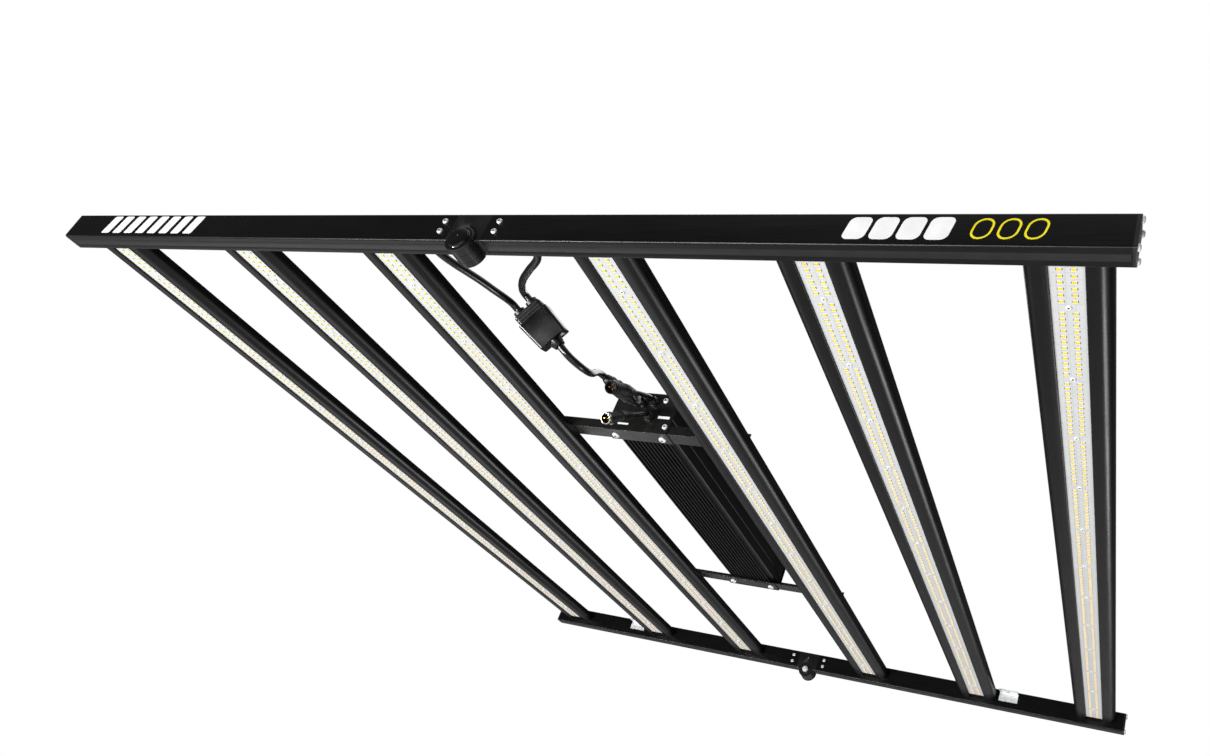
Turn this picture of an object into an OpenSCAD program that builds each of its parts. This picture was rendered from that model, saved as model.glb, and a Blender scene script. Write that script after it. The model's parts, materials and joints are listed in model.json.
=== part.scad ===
// Foldable LED grow light: two end rails hinged in the middle, six LED bars between them,
// a driver across the two middle bars and the leads that join it to the bars.
// The origin is the middle of the light, level with the tops of the rails; X runs along the
// rails, Y along the bars and Z up. The LEDs face down and the left half (-X) folds under.

/* [Frame] */
// Overall length of the two end rails
rail_length = 1135; // [1000:5:1300]
// Distance between the outer faces of the two rails
frame_length = 1135; // [1000:5:1350]
// Height of a rail
rail_h = 32; // [30:1:40]
// Depth of a rail, front to back
rail_d = 20; // [19:1:26]
// Wall of the rail extrusion
rail_wall = 1.8; // [1.5:0.1:2.2]
// Thickness of a rail's end cap
cap_t = 3; // [2:0.5:5]
// Width of the cover strip in a rail's underside
strip_w = 7.2; // [6:0.1:7.4]

/* [Hinge] */
// Width of one hinge block between the rail ends
block_w = 19.5; // [18:0.5:30]
// How far a block's tongue reaches into the rail
tongue_l = 23; // [20:1:40]
// Radius of the hinge barrel
barrel_r = 13.5; // [11:0.5:14]
// How far the hinge axis lies below the rails
axis_drop = 1; // [0.5:0.5:3]
// Radius of the pivot bolt
pivot_r = 3; // [2.5:0.5:4]
// Radius of the tension knob's rim
knob_r = 14.5; // [11:0.5:16]

/* [LED bars] */
// Width of a bar
bar_w = 65; // [60:1:72]
// Height of a bar's side walls
bar_h = 14.8; // [13.5:0.1:20]
// Distance between the two middle bars' centre lines
middle_gap = 250; // [230:1:300]
// Distance from a rail's end to the outer bar's centre line
end_margin = 48.5; // [40:0.5:80]
// Width of the LED board
board_w = 25.6; // [20:0.1:27]
// Thickness of the LED board
board_t = 1.6; // [1:0.1:2]
// Height of the LED board's face above the rails' underside
board_rise = 11.3; // [10:0.1:14]
// Gap between the LED board and each rail
board_gap = 10.5; // [5:0.5:30]
// Number of screws in a board
board_screw_count = 12; // [6:1:14]
// Number of LED places from one board screw to the next
screw_step = 13; // [8:1:16]

/* [Driver] */
// Distance between the outer faces of the two end plates
driver_l = 450; // [300:5:500]
// Width of the driver's case
driver_w = 82; // [70:1:100]
// Height of the driver's case above the brackets
driver_h = 50; // [45:1:70]
// How far an end plate stands out past each side of the case
plate_margin = 2; // [1:0.5:6]
// Thickness of the end plates
plate_t = 1.5; // [1:0.1:2.5]
// Number of cooling fins
fin_count = 12; // [6:1:12]
// Length of the brackets that carry the driver
bracket_l = 300; // [280:5:380]
// Thickness of the brackets
bracket_t = 2; // [1.5:0.1:3]
// Depth of a bracket's lower leg
bracket_d = 20.5; // [18:0.5:30]
// Height of a bracket's upright leg
bracket_h = 12; // [8:0.5:20]

/* [Leads] */
// Diameter of the two feed leads
feed_d = 7.5; // [6:0.1:9]
// Diameter of the splitter's lead to the driver
main_d = 8; // [6:0.1:9]
// Diameter of the driver's pigtails
pigtail_d = 6; // [5:0.1:7]
// Width of the splitter box
splitter_w = 36; // [34:1:44]
// Length of the splitter box
splitter_l = 32; // [26:1:40]
// Thickness of the splitter box
splitter_t = 22; // [18:1:28]

/* [Hanging brackets] */
// Radius of the eye that a hanging rope's hook goes through
eye_r = 4; // [3:0.5:5]
// Width of a hanging bracket along the rail
hanger_w = 32; // [24:1:40]

/* [Hidden] */
$fn = 48;

// Finishes
anodised = "#1b1b1a";
black_plastic = "#161616";
cast_black = "#222221";
zinc = "#c9cbcc";
board_white = "#dcdddd";
lead_black = "#121212";

// Clearances
slip = 0.05;        // a screw or bolt in its hole, on the radius
seam = 0.3;         // between the two halves of the light
through = 1;        // how far a cutter passes a face

// Rails
half = rail_length / 2;
y_out = -frame_length / 2;          // outer face of the near rail
y_in = y_out + rail_d;              // inner face of the near rail
z_low = -rail_h;                    // underside of the rails
rail_x0 = block_w + slip;
rail_x1 = half - cap_t;
rail_corner_r = 2;
port_r = 1.35;                      // screw ports in the rail's corners
port_wall = 1.35;
port_y = rail_d / 2 - 3.3;
port_z = rail_h / 2 - 3.3;
port_outer = port_r + port_wall;

// Hinge
axis_z = z_low - axis_drop;
knuckle_gap = 0.3;
knuckle_side = (rail_d - 2 * knuckle_gap) * 0.31;   // each of the right block's two knuckles
tongue_fit = 0.1;
tongue_h = 2 * (port_z - port_outer) - 2 * tongue_fit;
hinge_screw_x = block_w + 11.3;
hinge_screw_z = [-rail_h / 2 + 6.6, -rail_h / 2 - 5.4];
hinge_screw_r = 1.5;
nut_h = 5;
knob_h = 6;
knob_rim = 3.5;                     // thickness of the knob's rim
knob_cap_r = knob_r * 0.75;
knob_bevel = 1.2;
bolt_end = 4.5;                     // how far the pivot bolt stands out of the rail

// LED bars
bar_l = frame_length - 2 * rail_d;
outer_bar = half - end_margin;
bar_x = [middle_gap / 2, (middle_gap / 2 + outer_bar) / 2, outer_bar];
board_z = z_low + board_rise;       // face of the LED board
base_z = board_z + board_t;         // underside of the bar's base plate
base_t = 3;
wing_z = board_z - 1.8;             // lowest face of the wings
bar_top = wing_z + bar_h;
lip_x = board_w / 2 + 0.3;
lip_t = 1.7;
wing_t = 1.8;
wing_r = 10;
end_port_r = 1.8;
end_port_x = bar_w / 2 - 5.2;
end_port_z = wing_z + 7.5;
slot_x = 2.6;                       // half the slot between the two middle fins
wire_z = base_z + base_t + 3.5;
board_l = bar_l - 2 * board_gap;
led_places = board_screw_count * screw_step;
led_pitch = board_l / led_places;

// Hanging brackets
hanger_x = bar_x[1] + bar_w / 2 + 4.5 + hanger_w / 2;
hanger_z = -6;
hanger_t = 2;
hanger_drop = 16;
eye_y = y_in + 10;
hanger_depth = 17.5;

// Driver and its brackets
plate_w = driver_w + 2 * plate_margin;
plate_y = -driver_l / 2;            // outer face of the front end plate
leg_y = plate_y + plate_t;          // outer face of the bracket's upright leg
bracket_top = bar_top + bracket_t;
case_z0 = bracket_top;
case_z1 = case_z0 + driver_h;
case_l = driver_l - 2 * plate_t;
case_wall = 2.5;
fin_depth = 8;
fin_t = 1.6;
fin_span = driver_w - 17;
fin_pitch = fin_span / (fin_count - 1);
case_floor = case_z0 + fin_depth + case_wall;
flange_screw = [33, 12];            // from the middle, and from the plate's outer face
plate_screws = [[driver_w / 2 - 3.2, 6.6], [25, driver_h - 6.5]];
plate_screw_r = 1.95;
plate_top = case_z1 + 3.2;
gland_places = [[10, 39.5], [11.5, 18], [-5, 37.5]];   // X, and height above the bracket
gland_r = 4.6;
gland_l = 9;
gland_bore = pigtail_d / 2 + 0.25;

// The splitter hangs on its leads, turned between them
splitter_at = [-12.5, -417.9, -10.4];
splitter_turn = [-48, -51, -12];
cap_l = 15.5;
port_step = 8;
socket_l = 4;                       // depth of the splitter's three lead sockets
relief_l = 8;

// Routes of the leads
feed_left_route = [[-57, -551, -19], [-57, -540, -19], [-55.3, -531, -18.4],
    [-52.4, -519, -16.6], [-50.2, -505, -13.2], [-47.9, -488, -9], [-46.4, -470, -5],
    [-45.8, -454, -0.8], [-45, -442, 1.6], [-41.7, -435.3, -0.4], [-37.5, -432.1, -3.2]];
feed_right_route = [[59, -551, -19], [58.5, -541, -18.8], [53, -531, -17.4],
    [43.5, -522, -15.6], [31.9, -513, -13.4], [20.5, -503.5, -10.8], [9.4, -494, -7.9],
    [-0.5, -484.5, -4.7], [-9.4, -475, -1.1], [-17.5, -465.5, 3.2], [-25.6, -456, 7.8],
    [-31, -449.8, 11.5], [-34, -445.2, 13.6], [-35, -441.8, 14.3], [-34.2, -439.3, 13.7],
    [-31.8, -437.4, 12], [-27.6, -434.2, 9.2]];
main_route = [[1.6, -407.2, -19.8], [5.8, -404, -22.6], [14, -396.5, -28.4], [19, -382, -29],
    [16, -363, -22.5], [8, -346, -12.5], [-3, -330, 0], [-11, -317, 9.2],
    [-14.4, -309, 13.9], [-15.2, -303, 15.6], [-13.9, -298, 15.9]];
coupling_start = [-13.9, -298, 15.9];
coupling_end = [3.5, -254, 13.5];
mains_face = [18, -322, -12];
mains_back = [16, -278, 12];
control_face = [9, -297, -38];
control_back = [12, -260, -8];
output_route = [coupling_end, [4.9, -250.4, 13.4], [5.4, -247.4, 14.5], [4.7, -245, 17],
    [2.3, -243.2, 20.8], [-1.3, -241.2, 25.4], [-4, -238.6, 29.4], [-4.9, -235.2, 31.4],
    [-5, -230, 31.8]];
mains_route = [mains_back, [14.8, -266, 18.8], [12.8, -254, 25.4], [11.3, -245, 30],
    [10.2, -237.5, 33.1], [10, -230, 33.8]];
control_route = [control_back, [12.4, -253, -2.4], [12.4, -247, 2.2], [12, -241.5, 6.6],
    [11.6, -236, 10.4], [11.5, -230, 12.3]];

// ---------- helpers ----------
// Copies the near right quarter to another quarter: side -1 near, 1 far; hand 1 right, -1 left
module quarter(side, hand) {
    mirror([0, side > 0 ? 1 : 0, 0]) mirror([hand < 0 ? 1 : 0, 0, 0]) children();
}

// Extrudes an outline drawn in Y and Z from x0 to x1
module along_x(x0, x1) {
    translate([x0, 0, 0]) rotate([90, 0, 90]) linear_extrude(x1 - x0) children();
}

// Extrudes an outline drawn in X and Z from y0 to y1
module along_y(y0, y1) {
    translate([0, y1, 0]) rotate([90, 0, 0]) linear_extrude(y1 - y0) children();
}

// A cylinder that starts at p and runs in +Y
module rod_y(p, r, l) {
    translate(p) rotate([-90, 0, 0]) cylinder(r = r, h = l);
}

// Stands local Z on the line from p to q
module aimed(p, q) {
    d = q - p;
    translate(p) rotate([0, acos(d[2] / norm(d)), atan2(d[1], d[0])]) children();
}

// Rectangle with round corners, centred
module round_rect(w, h, r) {
    square([w - 2 * r, h], center = true);
    square([w, h - 2 * r], center = true);
    for (x = [-1, 1], y = [-1, 1]) {
        translate([x * (w / 2 - r), y * (h / 2 - r)]) circle(r);
    }
}

function unit(v) = v / norm(v);
function heading(route, i) =
    unit(route[min(i + 1, len(route) - 1)] - route[max(i - 1, 0)]);

// A lead: a tube swept through the points of its route
module lead(route, d, sides = 10) {
    rings = len(route);
    points = [for (i = [0 : rings - 1])
        let (t = heading(route, i), u = unit(cross(t, [0, 0, 1])), w = cross(u, t))
        for (j = [0 : sides - 1])
        let (a = 360 * j / sides)
        route[i] + d / 2 * (cos(a) * u + sin(a) * w)];
    walls = [for (i = [0 : rings - 2], j = [0 : sides - 1])
        let (k = (j + 1) % sides)
        [i * sides + j, i * sides + k, (i + 1) * sides + k, (i + 1) * sides + j]];
    ends = [[for (j = [sides - 1 : -1 : 0]) j],
        [for (j = [0 : sides - 1]) (rings - 1) * sides + j]];
    polyhedron(points = points, faces = concat(walls, ends), convexity = 4);
}

// ---------- rails ----------
// Box section with a screw port in each corner and a slot in the underside for the strip
module rail_profile() {
    difference() {
        round_rect(rail_d, rail_h, rail_corner_r);
        difference() {
            square([rail_d - 2 * rail_wall, rail_h - 2 * rail_wall], center = true);
            for (y = [-1, 1], z = [-1, 1]) {
                translate([y * port_y, z * port_z]) circle(port_outer);
            }
        }
        for (y = [-1, 1], z = [-1, 1]) translate([y * port_y, z * port_z]) circle(port_r);
        translate([-strip_w / 2 - slip, -rail_h / 2 - through]) {
            square([strip_w + 2 * slip, rail_wall + 2 * through]);
        }
    }
}

// lead_x is where a feed lead leaves the rail, or 0 where none does
module rail(side, hand, lead_x) {
    wall_y = y_in - rail_wall - through;
    wall_cut = rail_wall + 2 * through;
    color(anodised) quarter(side, hand) difference() {
        along_x(rail_x0, rail_x1) translate([y_out + rail_d / 2, -rail_h / 2]) rail_profile();
        for (x = bar_x) {
            for (s = [-1, 1]) rod_y([x + s * end_port_x, wall_y, end_port_z], 2.1, wall_cut);
            rod_y([x, wall_y, wire_z], 3, wall_cut);
        }
        for (z = hinge_screw_z) {
            rod_y([hinge_screw_x, y_out - through, z], hinge_screw_r + slip, rail_d + 2 * through);
        }
        for (s = [-1, 1]) {
            rod_y([hanger_x + s * hanger_w / 4, wall_y, hanger_z - hanger_drop + 4], 1.65, wall_cut);
        }
        if (lead_x > 0) rod_y([lead_x, wall_y, feed_left_route[0][2]], feed_d / 2 + 0.3, wall_cut);
    }
}

// Strip that slides along the slot and hides the wiring
module strip_profile() {
    flange_w = strip_w + 0.8;
    translate([-strip_w / 2, -rail_h / 2]) square([strip_w, rail_wall + 0.1]);
    translate([-flange_w / 2, -rail_h / 2 + rail_wall + slip]) square([flange_w, 0.8]);
}

module rail_covers(hand) {
    color(black_plastic) for (side = [-1, 1]) {
        quarter(side, hand) along_x(rail_x0 + 0.5, rail_x1 - 0.5) {
            translate([y_out + rail_d / 2, -rail_h / 2]) strip_profile();
        }
    }
}

module end_caps(hand) {
    color(black_plastic) for (side = [-1, 1]) {
        quarter(side, hand) along_x(rail_x1, half) {
            translate([y_out + rail_d / 2, -rail_h / 2]) difference() {
                round_rect(rail_d, rail_h, rail_corner_r);
                for (y = [-1, 1], z = [-1, 1]) {
                    translate([y * port_y, z * port_z]) circle(port_r + 0.15);
                }
            }
        }
    }
}

// Button head screw: head outside the plane, shank inside it, driven along -Z
module button_screw(head_r, head_h, shank_r, shank_l, key_r) {
    difference() {
        union() {
            cylinder(r = head_r, h = head_h * 0.45);
            translate([0, 0, head_h * 0.45]) {
                cylinder(r1 = head_r, r2 = head_r * 0.62, h = head_h * 0.55);
            }
            translate([0, 0, -shank_l]) cylinder(r = shank_r, h = shank_l + head_h * 0.2);
        }
        translate([0, 0, head_h * 0.4]) cylinder(r = key_r, h = head_h, $fn = 6);
    }
}

module end_cap_screws(hand) {
    color(zinc) for (side = [-1, 1]) quarter(side, hand) for (y = [-1, 1], z = [-1, 1]) {
        translate([half, y_out + rail_d / 2 + y * port_y, -rail_h / 2 + z * port_z]) {
            rotate([0, 90, 0]) button_screw(2.75, 2.2, port_r - slip, 14, 1);
        }
    }
}

// ---------- hinge ----------
// The right block has the two outer knuckles and the left one the knuckle between them
module knuckles(own) {
    outer = knuckle_side;
    middle0 = y_out + knuckle_side + knuckle_gap;
    middle = rail_d - 2 * (knuckle_side + knuckle_gap);
    if (own == "outer") {
        rod_y([0, y_out, axis_z], barrel_r, outer);
        rod_y([0, y_in - outer, axis_z], barrel_r, outer);
    } else {
        rod_y([0, middle0, axis_z], barrel_r, middle);
    }
}

module knuckle_rooms(other) {
    room = barrel_r + 0.5;
    middle0 = y_out + knuckle_side;
    if (other == "outer") {
        rod_y([0, y_out - through, axis_z], room, knuckle_side + knuckle_gap + through);
        rod_y([0, y_in - knuckle_side - knuckle_gap, axis_z], room,
            knuckle_side + knuckle_gap + through);
    } else {
        rod_y([0, middle0, axis_z], room, rail_d - 2 * knuckle_side);
    }
}

module hinge_block(side, hand) {
    own = hand > 0 ? "outer" : "middle";
    other = hand > 0 ? "middle" : "outer";
    color(cast_black) quarter(side, hand) difference() {
        union() {
            difference() {
                along_x(seam / 2, block_w) {
                    translate([y_out + rail_d / 2, -rail_h / 2]) {
                        round_rect(rail_d, rail_h, rail_corner_r);
                    }
                }
                knuckle_rooms(other);
            }
            along_x(block_w - 1, block_w + tongue_l) {
                translate([y_out + rail_d / 2, -rail_h / 2]) {
                    square([rail_d - 2 * rail_wall - 2 * tongue_fit, tongue_h], center = true);
                }
            }
            knuckles(own);
        }
        rod_y([0, y_out - through, axis_z], pivot_r + slip, rail_d + 2 * through);
        for (z = hinge_screw_z) {
            rod_y([hinge_screw_x, y_out - through, z], hinge_screw_r, rail_wall + 7 + through);
            rod_y([hinge_screw_x, y_in - rail_wall - 7, z], hinge_screw_r, rail_wall + 7 + through);
        }
    }
}

module pivot_bolts() {
    color(zinc) for (side = [-1, 1]) quarter(side, 1) {
        rod_y([0, y_out - bolt_end, axis_z], pivot_r, rail_d + bolt_end + nut_h + 2);
    }
}

module pivot_nuts() {
    color(zinc) for (side = [-1, 1]) quarter(side, 1) difference() {
        translate([0, y_in, axis_z]) rotate([-90, 0, 0]) cylinder(r = 5.6, h = nut_h, $fn = 6);
        rod_y([0, y_in - through, axis_z], pivot_r + slip, nut_h + 2 * through);
    }
}

// Disc from local Z 0 to h with a bevelled outer edge
module bevelled_disc(r, h, bevel) {
    cylinder(r = r, h = h - bevel);
    translate([0, 0, h - bevel]) cylinder(r1 = r, r2 = r - bevel, h = bevel);
}

// Round tension knob: a rim against the barrel with a smaller cap on it
module knob(side) {
    color(black_plastic) quarter(side, 1) translate([0, y_out - 0.2, axis_z]) rotate([90, 0, 0]) {
        difference() {
            union() {
                bevelled_disc(knob_r, knob_rim, knob_bevel);
                bevelled_disc(knob_cap_r, knob_h, knob_bevel);
            }
            translate([0, 0, -through]) cylinder(r = pivot_r + slip, h = bolt_end + through);
            translate([0, 0, knob_h - 0.5]) cylinder(r = 1.2, h = 0.5 + through);
        }
    }
}

module hinge_screws(hand) {
    color(zinc) for (side = [-1, 1]) quarter(side, hand) for (z = hinge_screw_z) {
        translate([hinge_screw_x, y_out, z]) rotate([90, 0, 0]) {
            button_screw(2.9, 1.8, hinge_screw_r - slip, rail_wall + 6, 1.1);
        }
        translate([hinge_screw_x, y_in, z]) rotate([-90, 0, 0]) {
            button_screw(2.9, 1.8, hinge_screw_r - slip, rail_wall + 6, 1.1);
        }
    }
}

// ---------- LED bars ----------
// Heat sink section: base plate, lips beside the board, rounded wings, side walls and fins
module bar_profile() {
    wall_in = bar_w / 2 - wing_t;
    translate([-lip_x, base_z]) square([2 * lip_x, base_t]);
    for (s = [-1, 1]) mirror([s < 0 ? 1 : 0, 0]) {
        difference() {
            translate([lip_x, wing_z + 0.9]) square([lip_t, bar_h - 0.9]);
            translate([lip_x + 0.6, bar_top - 4.2]) square([lip_t, 1.6]);
        }
        translate([lip_x + lip_t / 2, wing_z + 1.1]) circle(lip_t / 2);
        translate([lip_x + 0.8, wing_z]) square([bar_w / 2 - wing_r - lip_x - 0.8, wing_t]);
        translate([bar_w / 2 - wing_r, wing_z + wing_r]) intersection() {
            difference() {
                circle(wing_r);
                circle(wing_r - wing_t);
            }
            translate([0, -wing_r]) square(wing_r);
        }
        difference() {
            translate([wall_in, wing_z + wing_r]) square([wing_t, bar_h - wing_r]);
            translate([bar_w / 2 - 0.7, wing_z + wing_r + 0.2]) square([1, 1.4]);
        }
        difference() {
            translate([end_port_x, end_port_z]) circle(3.6);
            translate([end_port_x, end_port_z]) circle(end_port_r);
            translate([wall_in + wing_t / 2, end_port_z - 4]) square([3, 8]);
        }
        for (x = [slot_x, slot_x + 5]) {
            translate([x, base_z + base_t - 0.5]) square([1.6, bar_top - base_z - base_t + 0.5]);
        }
    }
}

module led_bar(x) {
    color(anodised) difference() {
        along_y(-bar_l / 2, bar_l / 2) translate([x, 0]) bar_profile();
        for (k = [0 : board_screw_count - 1]) {
            translate([x, board_screw_y(k), base_z - through]) {
                cylinder(r = 1.3, h = base_t + through - 0.4);
            }
        }
    }
}

function board_screw_y(k) = (k - (board_screw_count - 1) / 2) * screw_step * led_pitch;

module led_board(x) {
    color(board_white) difference() {
        translate([x - board_w / 2, -board_l / 2, board_z]) cube([board_w, board_l, board_t]);
        for (k = [0 : board_screw_count - 1]) {
            translate([x, board_screw_y(k), board_z - through]) {
                cylinder(r = 1.6, h = board_t + 2 * through);
            }
        }
    }
}

module board_screws(hand) {
    color(board_white) for (x = bar_x, k = [0 : board_screw_count - 1]) {
        translate([hand * x, board_screw_y(k), board_z]) {
            translate([0, 0, -1.1]) cylinder(r = 2.4, h = 1.1, $fn = 24);
            cylinder(r = 1.25, h = board_t + base_t - 1, $fn = 24);
        }
    }
}

module bar_screws(hand) {
    color(zinc) for (side = [-1, 1]) quarter(side, hand) for (x = bar_x, s = [-1, 1]) {
        translate([x + s * end_port_x, y_in - rail_wall, end_port_z]) rotate([90, 0, 0]) {
            button_screw(3.3, 2.1, end_port_r - slip, rail_wall + 12, 1.2);
        }
    }
}

// ---------- hanging brackets ----------
module hanging_brackets(hand) {
    color(zinc) for (side = [-1, 1]) quarter(side, hand) {
        difference() {
            union() {
                translate([hanger_x - hanger_w / 2, y_in, hanger_z]) {
                    cube([hanger_w, hanger_depth, hanger_t]);
                }
                translate([hanger_x - hanger_w / 2, y_in, hanger_z - hanger_drop + hanger_t]) {
                    cube([hanger_w, hanger_t, hanger_drop]);
                }
            }
            translate([hanger_x, eye_y, hanger_z - through]) {
                cylinder(r = eye_r, h = hanger_t + 2 * through);
            }
        }
        for (s = [-1, 1]) {
            place = [hanger_x + s * hanger_w / 4, y_in, hanger_z - hanger_drop + 4];
            rod_y(place - [0, rail_wall + 2, 0], 1.6, rail_wall + 2);
            rod_y(place + [0, hanger_t, 0], 3, 1);
        }
    }
}

// ---------- driver ----------
module case_profile() {
    body_z = case_z0 + fin_depth / 2;
    difference() {
        union() {
            translate([0, (body_z + case_z1) / 2]) round_rect(driver_w, case_z1 - body_z, 3);
            translate([-fin_span / 2 - fin_t / 2, case_z0]) {
                square([fin_span + fin_t, fin_depth]);
            }
            for (s = [-1, 1], z = [0.4, 0.75]) {
                translate([s * driver_w / 2, case_z0 + z * driver_h]) circle(0.8);
            }
        }
        for (i = [0 : fin_count - 2]) {
            translate([-fin_span / 2 + i * fin_pitch + fin_t / 2, case_z0 - through]) {
                square([fin_pitch - fin_t, fin_depth + through]);
            }
        }
        difference() {
            translate([-driver_w / 2 + case_wall, case_floor]) {
                square([driver_w - 2 * case_wall, case_z1 - case_wall - case_floor]);
            }
            for (s = [-1, 1]) {
                translate([s * plate_screws[1][0], case_z0 + plate_screws[1][1]]) {
                    circle(3.6);
                    translate([-1.5, 0]) square([3, 5]);
                }
            }
        }
        for (s = [-1, 1], p = plate_screws) {
            translate([s * p[0], case_z0 + p[1]]) circle(plate_screw_r);
        }
    }
}

module driver_case() {
    cut_y = case_l / 2 - bracket_t;
    color(anodised) difference() {
        along_y(-case_l / 2, case_l / 2) case_profile();
        for (s = [-1, 1]) {
            translate([-driver_w, s > 0 ? cut_y : -case_l / 2 - through, case_z0 - through]) {
                cube([2 * driver_w, bracket_t + through, bracket_h - bracket_t + through + 0.2]);
            }
        }
        for (side = [-1, 1], s = [-1, 1]) {
            translate([s * flange_screw[0], side * (driver_l / 2 - flange_screw[1]), case_z0 - 1]) {
                cylinder(r = 5, h = 5);
            }
        }
    }
}

// Folded end plate: an upright face and a flange that turns in under the bracket
module end_plate(side, glands) {
    color(cast_black) quarter(side, 1) difference() {
        union() {
            translate([-plate_w / 2, plate_y, bar_top - plate_t]) {
                cube([plate_w, plate_t, plate_top - bar_top + plate_t]);
            }
            translate([-plate_w / 2, plate_y, bar_top - plate_t]) {
                cube([plate_w, bracket_d + plate_t, plate_t]);
            }
        }
        for (s = [-1, 1], p = plate_screws) {
            rod_y([s * p[0], plate_y - through, case_z0 + p[1]], 2.1, plate_t + 2 * through);
        }
        for (s = [-1, 1]) {
            translate([s * flange_screw[0], plate_y + flange_screw[1], bar_top - plate_t - through]) {
                cylinder(r = 2.6, h = plate_t + 2 * through);
            }
        }
        if (glands) for (g = gland_places) {
            rod_y([g[0], plate_y - through, case_z0 + g[1]], gland_r, plate_t + 2 * through);
        }
    }
}

// Circuit board on the case floor with a transformer, a choke, capacitors and the heat spreader
module driver_circuit() {
    board_w2 = driver_w - 2 * case_wall - 10;
    color("#2f5a3a") translate([-board_w2 / 2, -case_l / 2 + 14, case_floor]) {
        cube([board_w2, case_l - 28, 1.6]);
        translate([12, 60, 1.6]) cube([38, 44, 26]);
        translate([14, 150, 1.6]) cube([32, 34, 24]);
        translate([8, 330, 1.6]) cube([30, 26, 22]);
        for (y = [230, 256, 282]) translate([board_w2 / 2, y, 1.6]) cylinder(r = 11, h = 26);
        translate([4, 120, 1.6]) cube([3, 180, 20]);
    }
}

module driver_screws() {
    color(zinc) for (side = [-1, 1]) quarter(side, 1) for (s = [-1, 1]) {
        for (p = plate_screws) {
            translate([s * p[0], plate_y, case_z0 + p[1]]) rotate([90, 0, 0]) {
                button_screw(3.6, 2.4, plate_screw_r - slip, plate_t + 9, 1.3);
            }
        }
        translate([s * flange_screw[0], plate_y + flange_screw[1], bar_top - plate_t]) {
            rotate([180, 0, 0]) button_screw(4.8, 2.8, 2.45, plate_t + bracket_t + 3, 1.6);
        }
    }
}

// Angle brackets across the two middle bars, bolted to the right one
module driver_brackets() {
    color(cast_black) for (side = [-1, 1]) quarter(side, 1) difference() {
        union() {
            translate([-bracket_l / 2, leg_y, bar_top]) cube([bracket_l, bracket_t, bracket_h]);
            translate([-bracket_l / 2, leg_y, bar_top]) cube([bracket_l, bracket_d, bracket_t]);
        }
        for (s = [-1, 1]) {
            translate([s * flange_screw[0], plate_y + flange_screw[1], bar_top - through]) {
                cylinder(r = 2.5, h = bracket_t + 2 * through);
            }
            rod_y([s * plate_screws[0][0], leg_y - through, case_z0 + plate_screws[0][1]], 2.1,
                bracket_t + 2 * through);
        }
        translate([bar_x[0], plate_y + flange_screw[1], bar_top - through]) {
            cylinder(r = 2.6, h = bracket_t + 2 * through);
        }
        translate([-bar_x[0] - 20, plate_y + 5, bar_top - through]) cube([40, 14, through + 1]);
    }
}

module bracket_pads() {
    color("#2b2b2b") for (side = [-1, 1]) quarter(side, 1) {
        translate([-bar_x[0] - 19.8, plate_y + 5.2, bar_top]) cube([39.6, 13.6, 1]);
    }
}

module bracket_bolts() {
    color(zinc) for (side = [-1, 1]) quarter(side, 1) {
        translate([bar_x[0], plate_y + flange_screw[1], bracket_top]) {
            button_screw(4.7, 3, slot_x - 0.15, bracket_t + 6, 1.6);
        }
    }
}

module cable_glands() {
    color(black_plastic) for (g = gland_places) {
        translate([g[0], plate_y, case_z0 + g[1]]) rotate([90, 0, 0]) difference() {
            union() {
                cylinder(r = 7, h = 3, $fn = 6);
                translate([0, 0, 3]) cylinder(r = 5.8, h = 3);
                translate([0, 0, 6]) cylinder(r1 = 5.8, r2 = 4.4, h = gland_l - 6);
                translate([0, 0, -plate_t]) cylinder(r = gland_r - slip, h = plate_t + 1);
                translate([0, 0, -plate_t - 4]) cylinder(r = 5.6, h = 4);
            }
            translate([0, 0, gland_l - 5]) cylinder(r = gland_bore, h = 5 + through);
        }
    }
}

// ---------- splitter ----------
module splitter_frame() {
    translate(splitter_at) rotate(splitter_turn) children();
}

// Box with a bevelled strain relief at its lower end
module splitter_body() {
    color(black_plastic) splitter_frame() rotate([-90, 0, 0]) difference() {
        union() {
            translate([0, 0, -splitter_l / 2]) {
                linear_extrude(splitter_l) round_rect(splitter_w, splitter_t, 3);
            }
            translate([0, 0, splitter_l / 2]) cylinder(r1 = 8.5, r2 = 6, h = relief_l);
        }
        translate([0, 0, splitter_l / 2 + relief_l - socket_l]) {
            cylinder(r = main_d / 2 + 0.4, h = socket_l + through);
        }
    }
}

// Ribbed cap with the two ports for the feed leads
module splitter_cap() {
    color(black_plastic) splitter_frame() rotate([90, 0, 0]) difference() {
        union() {
            for (i = [0 : 2]) {
                translate([0, 0, splitter_l / 2 + i * 3.4]) {
                    linear_extrude(2.2) round_rect(splitter_w - 4, splitter_t - 2, 3);
                }
            }
            translate([0, 0, splitter_l / 2]) {
                linear_extrude(10.6) round_rect(splitter_w - 6, splitter_t - 4, 3);
            }
            for (s = [-1, 1]) {
                translate([s * port_step, 0, splitter_l / 2]) cylinder(r = 6.4, h = cap_l);
            }
        }
        for (s = [-1, 1]) {
            translate([s * port_step, 0, splitter_l / 2 + cap_l - socket_l]) {
                cylinder(r = feed_d / 2 + 0.5, h = socket_l + through);
            }
        }
    }
}

// ---------- connectors ----------
// Plug and socket of the output lead, joined by a ring nut
module output_coupling() {
    l = norm(coupling_end - coupling_start);
    color(black_plastic) aimed(coupling_start, coupling_end) {
        cylinder(r1 = 5, r2 = 7, h = 8);
        translate([0, 0, 8]) cylinder(r = 7.6, h = 8);
        translate([0, 0, 16]) cylinder(r = 9.2, h = 13);
        translate([0, 0, 29]) cylinder(r = 7.8, h = l - 38);
        translate([0, 0, l - 9]) cylinder(r1 = 7.4, r2 = 4.2, h = 9);
    }
}

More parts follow.
